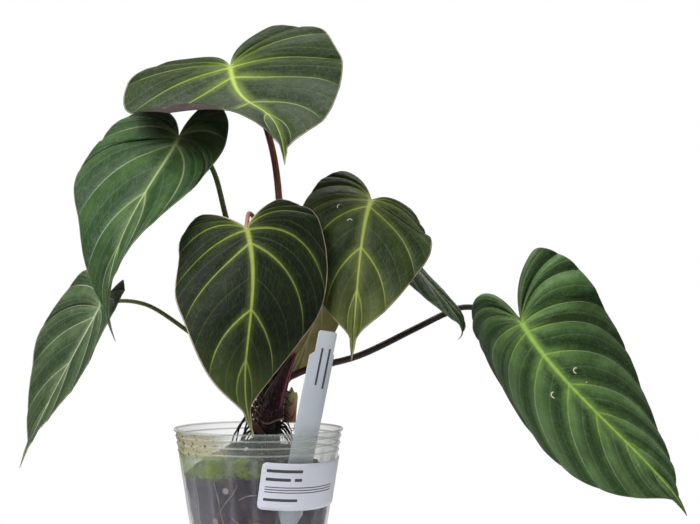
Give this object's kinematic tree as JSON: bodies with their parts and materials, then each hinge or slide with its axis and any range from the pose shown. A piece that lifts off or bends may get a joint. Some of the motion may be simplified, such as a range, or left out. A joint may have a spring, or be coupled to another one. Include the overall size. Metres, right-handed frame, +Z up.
{
  "type": "potted philodendron",
  "caption": "Young climbing aroid with pleated heart-shaped leaves on long stalks, rooted in potting mix in a clear tapered nursery pot with a tag and a label.",
  "frame": {"origin": "centre of the pot's flat base", "axes": "+Z up, -Y towards the viewer of the picture, +X to the viewer's right, along the far right leaf"},
  "size_m": [0.4695, 0.1727, 0.3994],
  "materials": {
    "clear_plastic": "clear thin plastic with a greyish bloom and traces of algae",
    "potting_mix": "damp dark bark and peat with a few white perlite grains",
    "moss": "soft low moss",
    "stem": "dark dry sheath remains and wiry roots",
    "sheath_dark": "satin maroon sheath",
    "sheath_pale": "pale old sheath",
    "sheath_dry": "dry brown strip",
    "stalk_red": "reddish brown stalk with fine hairs",
    "stalk_green": "olive green stalk with fine hairs",
    "stalk_dark": "blackish green stalk with fine hairs",
    "leaf_dark": "velvety, blackish green with lime veins",
    "leaf_green": "velvety, mid green with pale veins",
    "leaf_grey_green": "velvety, grey green with pale veins",
    "leaf_khaki": "matte khaki underside with pale veins",
    "white_tag": "satin white plastic",
    "white_label": "satin white sticker with plain grey bars"
  },
  "bodies": {
    "root": {"pot": "clear_plastic", "substrate": "potting_mix", "moss": "moss", "stem": "stem", "sheath_dark": "sheath_dark", "sheath_pale": "sheath_pale", "sheath_dry": "sheath_dry", "petiole_top": "stalk_red", "petiole_upper_left": "stalk_green", "petiole_lower_left": "stalk_green", "petiole_front": "stalk_red", "petiole_right": "stalk_green", "petiole_far_right": "stalk_dark", "petiole_rear_right": "stalk_green", "petiole_back": "stalk_green", "blade_top": "leaf_grey_green", "blade_upper_left": "leaf_green", "blade_lower_left": "leaf_grey_green", "blade_front": "leaf_dark", "blade_right": "leaf_dark", "blade_far_right": "leaf_green", "blade_rear_right": "leaf_green", "blade_back": "leaf_khaki", "plant_tag": "white_tag", "pot_label": "white_label"}
  },
  "joints": []
}
